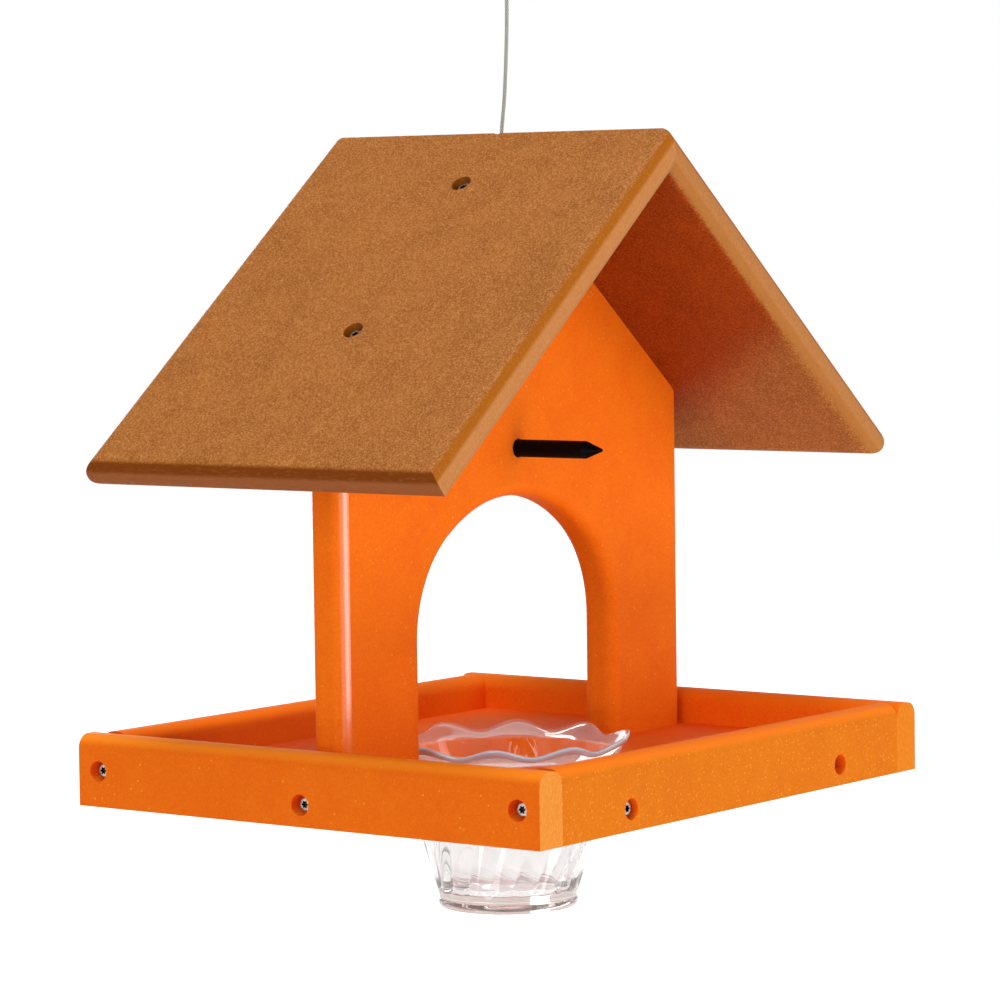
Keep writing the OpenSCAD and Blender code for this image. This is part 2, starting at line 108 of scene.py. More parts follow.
def fan(middle, ring, sides, last):
    """Faces that close the first or the last ring of a turned form round a middle point."""
    faces = []
    for k in range(sides):
        a, b = ring + k, ring + (k + 1) % sides
        faces.append((middle, a, b) if last else (middle, b, a))
    return faces


def smooth_path(points, steps):
    """Points on a smooth curve through the given ones."""
    p = [Vector(q) for q in points]
    last = len(p) - 1
    out = []
    for i in range(last):
        p0, p1, p2, p3 = p[max(i - 1, 0)], p[i], p[i + 1], p[min(i + 2, last)]
        for k in range(steps):
            t = k / steps
            out.append(0.5 * (2 * p1 + (p2 - p0) * t + (2 * p0 - 5 * p1 + 4 * p2 - p3) * t * t
                              + (3 * p1 - p0 - 3 * p2 + p3) * t * t * t))
    out.append(p[last])
    return out


def resampled(points, step):
    """The same line with points an even step apart, and how far along each one is."""
    at = [0.0]
    for a, b in zip(points, points[1:]):
        at.append(at[-1] + (b - a).length)
    count = max(2, round(at[-1] / step))
    out, along, i = [], [], 0
    for k in range(count + 1):
        s = at[-1] * k / count
        while i < len(at) - 2 and at[i + 1] < s:
            i += 1
        t = (s - at[i]) / (at[i + 1] - at[i])
        out.append(points[i].lerp(points[i + 1], min(max(t, 0.0), 1.0)))
        along.append(s)
    return out, along


# Wire rope: its route in millimetres, from the stop in the panel up to the loop and back
ROPE_MM = [
    (0, 0, -187), (0, 0, -177), (0, 0, -166), (0, 0, -155), (0.2, -0.25, -143.5),
    (0.6, -0.8, -131), (1, -1.3, -119.5), (1.7, -2.3, -107), (2.2, -2.9, -95), (2.5, -3.4, -83),
    (2.7, -3.7, -72), (2.8, -3.8, -62), (2.8, -3.8, -54), (2.8, -3.8, -47), (3, -3.75, -41),
    (3.8, -3.6, -35.5), (5.5, -3.3, -30), (7.8, -2.9, -24.6), (10, -2.3, -19), (11.4, -1.6, -13),
    (11.1, -0.9, -7.1), (8.6, -0.4, -2.3), (4.6, -0.1, 0.2), (0, 0, 0.9), (-4.6, -0.1, 0.2),
    (-8.6, -0.4, -2.3), (-11.1, -0.9, -7.1), (-11.3, -1.6, -13), (-9.6, -2.3, -19),
    (-7, -2.9, -24.6), (-4.2, -3.3, -30), (-1.8, -3.6, -35.5), (-0.4, -3.75, -41),
    (0, -3.8, -47), (0, -3.8, -58)]
ROPE_R, STRAND_R = 0.0009, 0.00031
ROPE_LAY = 0.0105
OUTER_STRANDS = 6
STRAND_SIDES = 7
ROUTE_STEPS, ROPE_STEP = 12, 0.0006
PATH_EVERY = 8


def rope_frames(line):
    """Each point of the line with its tangent and two sides that don't twist along it."""
    side = Vector((1, 0, 0))
    frames = []
    for i, p in enumerate(line):
        tangent = (line[min(i + 1, len(line) - 1)] - line[max(i - 1, 0)]).normalized()
        side = (side - tangent * side.dot(tangent)).normalized()
        frames.append((p, tangent, side.copy(), tangent.cross(side)))
    return frames


def rope():
    """Seven strands, six of them laid round the middle one along the route."""
    line = smooth_path([[c / 1000 for c in p] for p in ROPE_MM], ROUTE_STEPS)
    line, along = resampled(line, ROPE_STEP)
    frames = rope_frames(line)
    verts, faces, crown = [], [], []
    for strand in range(OUTER_STRANDS + 1):
        middle = strand == OUTER_STRANDS
        off = 0.0 if middle else ROPE_R - STRAND_R
        first = len(verts)
        for (p, tangent, u, v), s in zip(frames, along):
            turn = 2 * math.pi * (s / ROPE_LAY + strand / OUTER_STRANDS)
            out = u * math.cos(turn) + v * math.sin(turn)
            around = tangent.cross(out)
            for k in range(STRAND_SIDES):
                a = 2 * math.pi * k / STRAND_SIDES
                verts.append(p + out * (off + STRAND_R * math.cos(a)) + around * STRAND_R * math.sin(a))
                # crown is 1 on a strand's outer side and falls to -1 in the grooves and on the middle
                # strand; the rope's colour paints shade from it.
                crown.append(-1.0 if middle else math.cos(a))
        end = first + (len(frames) - 1) * STRAND_SIDES
        for ring in range(first, end, STRAND_SIDES):
            faces += band(ring, ring + STRAND_SIDES, STRAND_SIDES)
        faces.append(tuple(first + k for k in reversed(range(STRAND_SIDES))))
        faces.append(tuple(end + k for k in range(STRAND_SIDES)))
    obj = new_object("wire_rope", verts, faces)
    obj.data.attributes.new("crown", "FLOAT", "POINT").data.foreach_set("value", crown)
    return obj, [list(p) for p in line[::PATH_EVERY] + [line[-1]]], along[-1]


wire_rope, rope_path, rope_length = rope()
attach(wire_rope, "feeder")
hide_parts("hanging_cable")

# Snug hole round the rope in the ridge
LINING_SIDES = 48
LINING_OUTER_R, LINING_INNER_R = 0.00247, 0.00093
LINING_THINNEST = 0.00004
LINING_DEPTH, LINING_SUNK = 0.006, 0.00003
ROPE_AT_RIDGE = Vector((0.001, -0.0013))


def rope_hole_lining():
    """Board round the rope in the ridge's hole, its top flush with both slopes."""
    outer, inner = [], []
    for k in range(LINING_SIDES):
        a = 2 * math.pi * k / LINING_SIDES
        ray = Vector((math.cos(a), math.sin(a)))
        near = ROPE_AT_RIDGE + ray * LINING_INNER_R
        if near.length > LINING_OUTER_R - LINING_THINNEST:
            near = near.normalized() * (LINING_OUTER_R - LINING_THINNEST)
        outer.append(ray * LINING_OUTER_R)
        inner.append(near)
    verts = []
    for ring, low in ((outer, True), (outer, False), (inner, False), (inner, True)):
        for q in ring:
            slope_z = RIDGE_Z - LINING_SUNK - abs(q.x) * math.tan(PITCH)
            verts.append((q.x, q.y, RIDGE_Z - LINING_DEPTH if low else slope_z))
    faces = []
    for j in range(4):
        faces += band(j * LINING_SIDES, (j + 1) % 4 * LINING_SIDES, LINING_SIDES)
    return new_object("rope_hole_lining", verts, faces, smooth=False)


lining = rope_hole_lining()
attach(lining, "feeder")

# Screws: sizes, and how far below the board's face the top of a head lies
CBORE_DEPTH = 0.0065
HEAD_R, SHANK_R, TIP_R = 0.0036, 0.0019, 0.0003
TIP_LEN, POINT_LEN = 0.004, 0.0002
LONG_SCREW, SHORT_SCREW = 0.032, 0.025
DEEP_HEAD, RAIL_HEAD, NEAR_HEAD = 0.0041, 0.0035, 0.0024
SCREW_SIDES = 48
# The head's edge and its six-lobed recess: radius, depth below the head's top, reach of the lobes
HEAD_ROWS = [(HEAD_R, 0.0012, 0), (0.00343, 0.00055, 0), (0.003, 0.00015, 0), (0.0025, 0, 0),
             (0.00152, 0, 0.0003), (0.00142, 0.0015, 0.0003)]
RECESS_LOBES, RECESS_DEPTH = 6, 0.0019


def screws(name, places):
    """Pan-head screws with a six-lobed drive, each seated in its counterbore. A place is a point on
    the board's face, the way out of it, how far down the head's top lies and the length under it."""
    verts, faces, recess = [], [], []
    for point, way, top, length in places:
        out = Vector(way).normalized()
        side = Vector((0, 1, 0)) if abs(out.y) < 0.5 else Vector((1, 0, 0))
        other = out.cross(side)
        tip = CBORE_DEPTH + length
        rows = [(TIP_R, tip, 0), (SHANK_R, tip - TIP_LEN, 0), (SHANK_R, CBORE_DEPTH, 0),
                (HEAD_R, CBORE_DEPTH, 0)] + [(r, top + down, lobe) for r, down, lobe in HEAD_ROWS]
        rings = []
        for radius, down, lobe in rows:
            rings.append(len(verts))
            for k in range(SCREW_SIDES):
                a = 2 * math.pi * k / SCREW_SIDES
                r = radius + lobe * math.cos(RECESS_LOBES * a)
                verts.append(Vector(point) - out * down + side * r * math.cos(a) + other * r * math.sin(a))
        verts += [Vector(point) - out * (tip + POINT_LEN), Vector(point) - out * (top + RECESS_DEPTH)]
        for low, high in zip(rings[:-2], rings[1:-1]):
            faces += band(low, high, SCREW_SIDES)
        faces += fan(len(verts) - 2, rings[0], SCREW_SIDES, last=False)
        drive = band(rings[-2], rings[-1], SCREW_SIDES)
        drive += fan(len(verts) - 1, rings[-1], SCREW_SIDES, last=True)
        recess += range(len(faces), len(faces) + len(drive))
        faces += drive
    obj = new_object(name.replace("screws", "pan_screws"), verts, faces, smooth=False)
    # The drive recess takes the second slot, a dark steel that is painted shade.
    for j in recess:
        obj.data.polygons[j].material_index = 1
    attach(obj, "feeder")
    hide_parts(name)
    return obj


# Places of the screws, as in the part's source
END_SCREW_IN = 0.0115
EDGE_SCREW_X, EDGE_SCREW_Z = 0.0825, 0.0095
FOOT_SCREW_IN, FOOT_SCREW_GAP = 0.013, 0.020
RIDGE_SCREW_S, SHOULDER_SCREW_S = 0.036, 0.042


def side_holes(side):
    """Where the screws of a side rail enter its face: near its ends and in its middle."""
    end_y, end_z = TRAY_D / 2 - END_SCREW_IN, RAIL_H / 2
    return [(side * TRAY_W / 2, y, UNDERSIDE + z)
            for y, z in ((-end_y, end_z), (0, EDGE_SCREW_Z), (end_y, end_z))]


def end_holes(side):
    """Where the screws of the front or the back rail enter its face."""
    return [(x, side * TRAY_D / 2, UNDERSIDE + EDGE_SCREW_Z) for x in (-EDGE_SCREW_X, EDGE_SCREW_X)]


def foot_holes():
    """Where the screws of the panel's two legs enter the tray's underside."""
    inner = ARCH_W / 2 + FOOT_SCREW_IN
    outer = inner + FOOT_SCREW_GAP
    return [(x, 0, UNDERSIDE) for x in (-outer, -inner, inner, outer)]


def slope_holes(side):
    """Where the screws of a roof board enter its upper face, down the slope from the ridge."""
    return [(side * s * math.cos(PITCH), 0, RIDGE_Z - s * math.sin(PITCH))
            for s in (RIDGE_SCREW_S, SHOULDER_S - SHOULDER_SCREW_S)]


def slope_way(side):
    """The way out of a roof board's upper face."""
    return (side * math.sin(PITCH), 0, math.cos(PITCH))


screw_sets = []
for name, side in (("left_rail_screws", -1), ("right_rail_screws", 1)):
    lengths = (LONG_SCREW, SHORT_SCREW, LONG_SCREW)
    screw_sets.append(screws(name, [(hole, (side, 0, 0), RAIL_HEAD, length)
                                    for hole, length in zip(side_holes(side), lengths)]))
for name, side in (("front_rail_screws", -1), ("back_rail_screws", 1)):
    screw_sets.append(screws(name, [(hole, (0, side, 0), top, LONG_SCREW)
                                    for hole, top in zip(end_holes(side), (NEAR_HEAD, DEEP_HEAD))]))
screw_sets.append(screws("panel_foot_screws", [(hole, (0, 0, -1), DEEP_HEAD, LONG_SCREW)
                                               for hole in foot_holes()]))
for name, side in (("left_roof_screws", -1), ("right_roof_screws", 1)):
    screw_sets.append(screws(name, [(hole, slope_way(side), NEAR_HEAD, SHORT_SCREW)
                                    for hole in slope_holes(side)]))

# Glass cup: sizes in millimetres
BODY_H, FOOT_R, SEAT_R, RIM_R, RIM_RISE = 70.0, 32.0, 52.3, 56.0, 5.2
RIM_T, WALL_T, BASE_T = 2.4, 3.4, 8.0
RUFFLES, RUFFLE_OUT, RUFFLE_UP, RUFFLE_PHASE = 10, 2.0, 2.0, 31.7
FLUTES, FLUTE_DEPTH, FLUTE_TURN = 20, 0.9, 34.0
FLUTE_START_H, FLUTE_FULL_H = 9.0, 12.0
RIM_H = BODY_H + RIM_RISE
BOTTOM_R = FOOT_R + 1
BELLY = 0.93
FOOT_HOLLOW = 1.2
WELL_H = BASE_T - 0.1
LIP_H, LIP_R = 73, RIM_R - 0.7
WALL_STEPS = 16
CUP_SIDES = 320


def wall_r(h):
    """Outer radius of the wall, which bellies a little from the foot to the seat."""
    u = (h - FLUTE_START_H) / (BODY_H - FLUTE_START_H)
    return BOTTOM_R + (SEAT_R - BOTTOM_R) * u * (BELLY + (1 - BELLY) * u)


def wall_t(h):
    return WALL_T + (RIM_T - WALL_T) * h / RIM_H


def evenly(first, last):
    """Heights an even step apart, the first and the last with them."""
    return [first + (last - first) * i / WALL_STEPS for i in range(WALL_STEPS + 1)]


def cup_rows():
    """Rows of the cup from the foot up the outside, over the rim and down the inside:
    height, radius, share of the flutes, share of the ruffles."""
    foot = [(FOOT_HOLLOW, -7), (0.9, -6.6), (0.2, -5.6), (0, -5), (0, -1.8), (0.35, -0.7), (1.2, 0),
            (3.3, 0), (3.9, -0.35), (4.3, -0.45), (6, -0.05), (FLUTE_START_H, 1)]
    rows = [(h, FOOT_R + out, 0, 0) for h, out in foot]
    rows += [(h, wall_r(h), share, 0) for h, share in ((10, 0.35), (11, 0.8))]
    rows += [(h, wall_r(h), 1, 0) for h in evenly(FLUTE_FULL_H, BODY_H - 8)]
    rows += [(64.8, wall_r(64.8), 0.78, 0.04), (67, wall_r(67), 0.5, 0.1),
             (68.7, wall_r(68.7) - 0.05, 0.34, 0.2), (70.3, SEAT_R, 0.2, 0.3),
             (71.7, SEAT_R + 0.75, 0.1, 0.5), (73.1, SEAT_R + 2.2, 0, 0.75), (74.2, SEAT_R + 3.05, 0, 0.9),
             (75.0, RIM_R, 0, 1), (75.5, RIM_R + 0.05, 0, 1), (75.95, RIM_R - 0.15, 0, 1),
             (76.2, RIM_R - 0.6, 0, 1), (76.2, RIM_R - 1.1, 0, 1)]
    inner = SEAT_R - RIM_T
    rows += [(75.7, RIM_R - 1.7, 0, 0.95), (74.6, inner + 3.0, 0, 0.85), (73.5, inner + 2.2, 0, 0.75),
             (71.9, inner + 0.9, 0, 0.5), (70.3, inner, 0, 0.3)]
    rows += [(h, wall_r(h) - wall_t(h), 0.12, 0) for h in evenly(BODY_H - 6, BASE_T + 7)]
    rows.append((12.6, wall_r(12.6) - wall_t(12.6) - 0.35, 0.05, 0))
    rows += [(h, wall_r(h) - WALL_T - inset, 0, 0)
             for h, inset in ((11, 0.9), (10, 1.6), (9, 2.7), (8.3, 4.2), (BASE_T, 6))]
    rows += [(WELL_H, 16, 0, 0), (WELL_H, 6, 0, 0)]
    return rows


def cup_height(h):
    """Where a height of the cup in millimetres lies when its brim sits on the floor board."""
    return (h - BODY_H) / 1000 + FLOOR_TOP


def glass_cup():
    rows = cup_rows()
    verts, faces = [], []
    for h, r, share, ruffle in rows:
        for i in range(CUP_SIDES):
            turned = 360.0 * i / CUP_SIDES
            a = turned + FLUTE_TURN * h / RIM_H
            wave = ruffle * math.cos(math.radians(RUFFLES * (a - RUFFLE_PHASE)))
            flute = share * FLUTE_DEPTH * (1 - abs(math.sin(math.radians(FLUTES / 2 * turned))))
            radius = (r + wave * RUFFLE_OUT - flute) / 1000
            verts.append((radius * math.cos(math.radians(a)), radius * math.sin(math.radians(a)),
                          cup_height(h + wave * RUFFLE_UP)))
    on_lip = []
    for j, (low, high) in enumerate(zip(rows, rows[1:])):
        faces += band(j * CUP_SIDES, (j + 1) * CUP_SIDES, CUP_SIDES)
        on_lip += [float(low[0] > LIP_H and high[1] > LIP_R)] * CUP_SIDES
    faces += fan(len(verts), 0, CUP_SIDES, last=False)
    faces += fan(len(verts) + 1, (len(rows) - 1) * CUP_SIDES, CUP_SIDES, last=True)
    on_lip += [0.0] * 2 * CUP_SIDES
    verts += [(0, 0, cup_height(FOOT_HOLLOW)), (0, 0, cup_height(WELL_H))]
    obj = new_object("ruffled_cup", verts, faces)
    obj.data.attributes.new("lip", "FLOAT", "FACE").data.foreach_set("value", on_lip)
    return obj


cup = glass_cup()
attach(cup, "cup")
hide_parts("glass_cup")


# Materials
def linear(r, g, b):
    """A colour written as 0 to 255 sRGB, as the renderer wants it."""
    out = []
    for c in (r, g, b):
        c /= 255
        out.append(c / 12.92 if c <= 0.04045 else ((c + 0.055) / 1.055) ** 2.4)
    return (*out, 1.0)


class Nodes:
    """A node tree, with short calls that add nodes to it."""

    def __init__(self, tree):
        self.tree = tree

    def add(self, kind, **inputs):
        node = self.tree.nodes.new("ShaderNode" + kind)
        self.fill(node, **inputs)
        return node

    def fill(self, node, **inputs):
        for name, value in inputs.items():
            self.link(value, node.inputs[name.replace("_", " ")])

    def link(self, value, socket):
        if isinstance(value, bpy.types.NodeSocket):
            self.tree.links.new(value, socket)
        else:
            socket.default_value = value

    def ramp(self, value, low, high, start=0.0, end=1.0):
        node = self.add("MapRange", Value=value, From_Min=low, From_Max=high, To_Min=start, To_Max=end)
        node.interpolation_type = "SMOOTHSTEP"
        return node.outputs["Result"]

    def math(self, kind, a, b=0.0):
        node = self.add("Math")
        node.operation = kind
        self.link(a, node.inputs[0])
        self.link(b, node.inputs[1])
        return node.outputs[0]

    def vector_math(self, kind, a, b=(0, 0, 0)):
        node = self.add("VectorMath")
        node.operation = kind
        self.link(a, node.inputs[0])
        self.link(b, node.inputs[1])
        return node.outputs["Value"]

    def part(self, vector, axis):
        return self.add("SeparateXYZ", Vector=vector).outputs[axis]


class Skin(Nodes):
    """A material of the object round one Principled shader."""

    def __init__(self, name):
        self.mat = bpy.data.materials.new(name)
        self.mat.use_nodes = True
        super().__init__(self.mat.node_tree)
        self.bsdf = self.tree.nodes["Principled BSDF"]
        self.place = self.add("TexCoord").outputs["Object"]
        geometry = self.add("NewGeometry")
        self.normal = geometry.outputs["Normal"]
        self.backfacing = geometry.outputs["Backfacing"]

    def scaled(self, scale, turn=(0, 0, 0)):
        return self.add("Mapping", Vector=self.place, Rotation=turn, Scale=scale).outputs["Vector"]

    def noise(self, vector, scale, detail, rough):
        node = self.add("TexNoise", Vector=vector, Scale=scale, Detail=detail, Roughness=rough)
        return node.outputs["Fac"]

    def streaks(self, scale, turn=(0, 0, 0)):
        return self.noise(self.scaled(scale, turn), scale=1.0, detail=3, rough=0.6)

    def mix(self, share, a, b, kind="MIX"):
        node = self.add("Mix")
        node.data_type = "RGBA"
        node.blend_type = kind
        self.link(share, node.inputs[0])
        self.link(a, node.inputs[6])
        self.link(b, node.inputs[7])
        return node.outputs[2]

    def distance(self, axis, vector):
        """How far a place or a direction reaches along an axis, whichever way."""
        return self.math("ABSOLUTE", self.part(vector, axis))

    def near(self, points, flat, reach):
        """1 within reach of the nearest of the points, with the axis that flat zeroes left out."""
        place, nearest = self.scaled(flat), 1.0
        for point in points:
            flattened = [c * f for c, f in zip(point, flat)]
            nearest = self.math("MINIMUM", self.vector_math("DISTANCE", place, flattened), nearest)
        return self.ramp(nearest, reach + CBORE_LOOK_FADE, reach)

    def bump(self, height, distance, strength=0.3):
        return self.add("Bump", Strength=strength, Distance=distance, Height=height).outputs["Normal"]

    def attribute(self, name):
        node = self.add("Attribute")
        node.attribute_name = name
        return node.outputs["Fac"]

    def set(self, **inputs):
        self.fill(self.bsdf, **inputs)
        return self.mat


def repaint(name, material):
    """Gives a CAD node that stays in view its material."""
    nodes[name].data.materials.clear()
    nodes[name].data.materials.append(material)


# Boards of recycled plastic: scales of the skin's noises and flecks
DRIFT, CLOUD, FINE, FLECKS = 42, 210, 1150, 540
# Where single looks lie: painted light in the counterbores, painted shade under the roof and in the tray's
# corner, and the sawn ends
CBORE_LOOK_R, CBORE_LOOK_FADE = 0.0048, 0.0002
LOW_LIGHT_SLANT, LOW_LIGHT_END, SHADE_START = 0.45, -0.268, -0.243
CORNER_SLANT, CORNER_START, CORNER_DEEP = 1.23, -0.08, -0.125
SAWN_START, SAWN_FULL = 0.0012, 0.0003
BURNISH_FADE = 0.0005


def mottled(n, seed, base, dark, light, fleck, grain, specks):
    """The skin's colour, and its cloudy and fine noises. grain is how strongly the fine one shows.
    Fewer flecks show with a higher specks."""
    shifted = n.scaled((1, 1, 1), (seed, seed * 1.7, seed * 0.6))
    drift = n.noise(shifted, DRIFT, detail=3, rough=0.6)
    cloud = n.noise(shifted, CLOUD, detail=3, rough=0.6)
    fine = n.noise(shifted, FINE, detail=3, rough=0.7)
    colour = n.mix(n.ramp(drift, 0.38, 0.66, 0.0, 0.6), base, dark)
    colour = n.mix(n.ramp(cloud, 0.45, 0.75, 0.0, 0.45 * grain), colour, light)
    colour = n.mix(n.ramp(fine, 0.47, 0.64, 0.0, grain), colour, light)
    colour = n.mix(n.ramp(fine, 0.52, 0.34, 0.0, grain), colour, dark)
    spots = n.add("TexVoronoi", Vector=shifted, Scale=FLECKS)
    chosen = n.ramp(n.part(spots.outputs["Color"], 0), specks, specks + 0.04)
    dots = n.math("MULTIPLY", n.ramp(spots.outputs["Distance"], 0.34, 0.12), chosen)
    return n.mix(n.math("MULTIPLY", dots, 0.6), colour, fleck), cloud, fine


def painted_underside_shade(n, colour, up, under):
    """A roof board's underside with painted shade: its own colour below the reach of low light, a darker,
    redder tint above it.
    """
    slant = n.math("MULTIPLY", n.distance(1, n.place), LOW_LIGHT_SLANT)
    height = n.math("SUBTRACT", n.part(n.place, 2), slant)
    tint = n.mix(n.ramp(height, LOW_LIGHT_END, SHADE_START), under[0], under[1])
    return n.mix(n.ramp(up, -0.8, -0.95), colour, n.mix(1.0, colour, tint, "MULTIPLY"))


def edge_streaks_and_painted_light(n, colour, up, fine, light, fleck, edges):
    """The streaky eaves and rakes of a roof board, which don't lie along its flat faces. Their colours are
    partly the board's own tone and partly painted light: a darker painted shade where they face out or up,
    and a paler painted sheen where they face down.
    """
    edge = n.mix(n.ramp(n.part(n.normal, 2), -0.25, -0.5), edges["eave"], edges["eave_low"])
    edge = n.mix(n.ramp(n.streaks((1600, 240, 1600)), 0.5, 0.7, 0.0, 0.15), edge, light)
    rake = n.mix(n.ramp(up, -0.1, -0.6), edges["rake"], edges["rake_low"])
    rake = n.mix(n.ramp(fine, 0.5, 0.64, 0.0, 0.15), rake, fleck)
    edge = n.mix(n.ramp(n.distance(1, n.normal), 0.12, 0.45), edge, rake)
    return n.mix(n.ramp(n.math("ABSOLUTE", up), 0.74, 0.9), edge, colour)


def shaded_corner(n, colour, corner):
    """Painted shade in the tray's corner behind the panel's left leg."""
    slant = n.math("MULTIPLY", n.part(n.place, 1), CORNER_SLANT)
    past = n.math("SUBTRACT", n.part(n.place, 0), slant)
    darker = n.mix(1.0, colour, corner, "MULTIPLY")
    return n.mix(n.ramp(past, CORNER_START, CORNER_DEEP), colour, darker)


def sawn_ends(n, colour, sawn, end):
    """The paler, streaked ends that face along Y, at the distance end."""
    cut = n.mix(n.ramp(n.streaks((1700, 300, 700), (0, 0.68, 0)), 0.36, 0.64), sawn[0], sawn[1])
    outer = n.ramp(n.distance(1, n.place), end - SAWN_START, end - SAWN_FULL)
    return n.mix(n.math("MULTIPLY", n.ramp(n.distance(1, n.normal), 0.8, 0.98), outer), colour, cut)


def burnish(n, shine):
    """A gloss on the rounded edges that reach further out towards -X than shine."""
    front = n.distance(1, n.normal)
    turned = n.math("MULTIPLY", n.ramp(front, 0.9995, 0.995), n.ramp(front, 0.66, 0.8))
    outer = n.ramp(n.part(n.place, 0), BURNISH_FADE - shine, -shine)
    n.set(Coat_Weight=n.math("MULTIPLY", turned, outer), Coat_Roughness=0.22, Coat_IOR=1.85)


def board(name, base, dark, light, fleck, seed, grain, specks=0.93, gloss=0.08, flat=None, edges=None,
          under=None, corner=None, bores=None, painted_top_light=None, sawn=None, end=None, shine=None):
    """Recycled-plastic board with a mottled skin. gloss is the specular level. flat is the way out
    of a roof board's upper face, and edges and under are its colours and tints: the eaves and rakes
    take painted shade and sheen over their own tone, and the underside takes painted shade. corner
    tints the tray's corner behind the panel's left leg with painted shade. bores has the counterbores'
    places, the axes that count and their brighter, redder colour, painted light inside them. crest is
    the paler colour painted on upward-facing roundings as light and sheen from above. sawn has the two
    colours of the ends at the distance end, and shine is how far out towards -X the rounded edges are
    burnished."""
    n = Skin(name)
    colour, cloud, fine = mottled(n, seed, base, dark, light, fleck, grain, specks)
    if flat:
        up = n.vector_math("DOT_PRODUCT", n.normal, flat)
        # The underside takes painted shade; the eaves and rakes take painted shade and sheen over their
        # own tone.
        colour = edge_streaks_and_painted_light(n, painted_underside_shade(n, colour, up, under), up, fine, light, fleck, edges)
    # Painted shade in the tray's corner behind the panel's left leg.
    if corner:
        colour = shaded_corner(n, colour, corner)
    # The counterbores take a brighter, redder colour: painted light inside them.
    if bores:
        places, axes, painted_bore_light = bores
        colour = n.mix(n.near(places, axes, CBORE_LOOK_R), colour, painted_bore_light)
    # Upward-facing roundings take a paler colour: painted light and sheen from above.
    if painted_top_light:
        colour = n.mix(n.ramp(n.part(n.normal, 2), 0.2, 0.9), colour, painted_top_light)
    if sawn:
        colour = sawn_ends(n, colour, sawn, end)
    if shine:
        burnish(n, shine)
    height = n.math("ADD", fine, n.math("MULTIPLY", cloud, 1.5))
    return n.set(Base_Color=colour, Roughness=n.ramp(cloud, 0.3, 0.7, 0.56, 0.68),
                 Normal=n.bump(height, distance=0.00012), Specular_IOR_Level=gloss)


ORANGE = dict(base=linear(238, 110, 9), dark=linear(232, 98, 6), light=linear(244, 124, 18),
              fleck=linear(252, 170, 70), grain=0.55)
# A darker copy of the orange for the left side rail: painted shade.
SIDE_PAINTED_SHADE_ORANGE = dict(ORANGE, base=linear(229, 104, 8), dark=linear(223, 93, 5), light=linear(236, 117, 16))
# A brighter copy of the orange for the tray's floor: painted light that lifts its shade, with more gloss.
FLOOR_PAINTED_LIGHT_ORANGE = dict(ORANGE, base=linear(255, 108, 10), dark=linear(253, 94, 6), light=linear(255, 124, 18),
                   gloss=0.21)
# A yellower copy of the orange for the front rail: partly its own tone and partly painted light, as it
# looks in stronger light, with more flecks of its own.
FRONT_ORANGE_FLECKS_AND_PAINTED_LIGHT = dict(ORANGE, base=linear(208, 109, 8), dark=linear(202, 99, 5), light=linear(218, 124, 18),
                   fleck=linear(240, 150, 50), specks=0.5)
# A brighter copy of the orange for the back and right rails: painted light that lifts their shade, with
# paler painted light on their upward-facing roundings.
BACK_PAINTED_LIGHT_ORANGE = dict(ORANGE, base=linear(252, 120, 12), dark=linear(247, 106, 8), light=linear(255, 134, 22),
                   painted_top_light=linear(255, 124, 16))
BROWN = dict(base=linear(165, 99, 38), dark=linear(142, 80, 26), light=linear(194, 130, 74),
             fleck=linear(214, 150, 84), grain=0.9)
# Eave colours: eave is a darker painted shade on the upper rounding and eave_low a paler painted sheen on
# the lower band, both over the board's own tone.
EAVE = dict(eave=linear(119, 55, 2), eave_low=linear(142, 80, 40))
# under: no tint below the reach of low light, and a darker, redder painted shade above it.
ROOF = dict(BROWN, end=ROOF_LEN / 2, under=((1.0, 1.0, 1.0, 1), (0.78, 0.36, 0.12, 1)))
# Tint of the painted shade in the tray's corner behind the panel's left leg.
CORNER_PAINTED_SHADE = (0.7, 0.55, 0.5, 1)
BOARDS = {
    # The left side rail takes painted light and sheen on its upward-facing roundings.
    "left_side_rail": dict(SIDE_PAINTED_SHADE_ORANGE, seed=0.3, painted_top_light=linear(255, 140, 28), end=TRAY_D / 2,
                           sawn=(linear(218, 127, 38), linear(224, 142, 60)),
                           # The left side rail's counterbores: a brighter, redder painted light.
                           bores=(side_holes(-1), (0, 1, 1), linear(255, 96, 14))),
    "right_side_rail": dict(BACK_PAINTED_LIGHT_ORANGE, seed=1.1, end=TRAY_D / 2,
                            sawn=(linear(211, 114, 16), linear(218, 124, 28))),
    # The front rail takes painted light and sheen on its upward-facing roundings.
    "front_rail": dict(FRONT_ORANGE_FLECKS_AND_PAINTED_LIGHT, seed=2.3, painted_top_light=linear(248, 126, 24),
                       # The front rail's counterbores: a brighter, redder painted light.
                       bores=(end_holes(-1), (1, 0, 1), linear(255, 108, 14))),
    "back_rail": dict(BACK_PAINTED_LIGHT_ORANGE, seed=3.1, corner=CORNER_PAINTED_SHADE),
    "tray_floor": dict(FLOOR_PAINTED_LIGHT_ORANGE, seed=4.2, corner=CORNER_PAINTED_SHADE),
    "gable_panel": dict(ORANGE, seed=5.4, shine=0.1225),
    # On both roof boards, rake is a darker painted shade on the upper rounding and rake_low a paler
    # painted sheen on the lower band, over the board's own tone.
    "left_roof_board": dict(ROOF, seed=0.7, flat=slope_way(-1),
                            edges=dict(EAVE, rake=linear(160, 88, 10), rake_low=linear(166, 118, 72)),
                            sawn=(linear(180, 114, 60), linear(190, 127, 72))),
    "right_roof_board": dict(ROOF, seed=1.9, flat=slope_way(1),
                             edges=dict(EAVE, rake=linear(160, 84, 12), rake_low=linear(166, 105, 48)),
                             sawn=(linear(170, 107, 55), linear(180, 120, 67))),
}
for name, look in BOARDS.items():
    repaint(name, board(name + "_poly", **look))
lining.data.materials.append(board("lining_poly", seed=2.6, **BROWN))


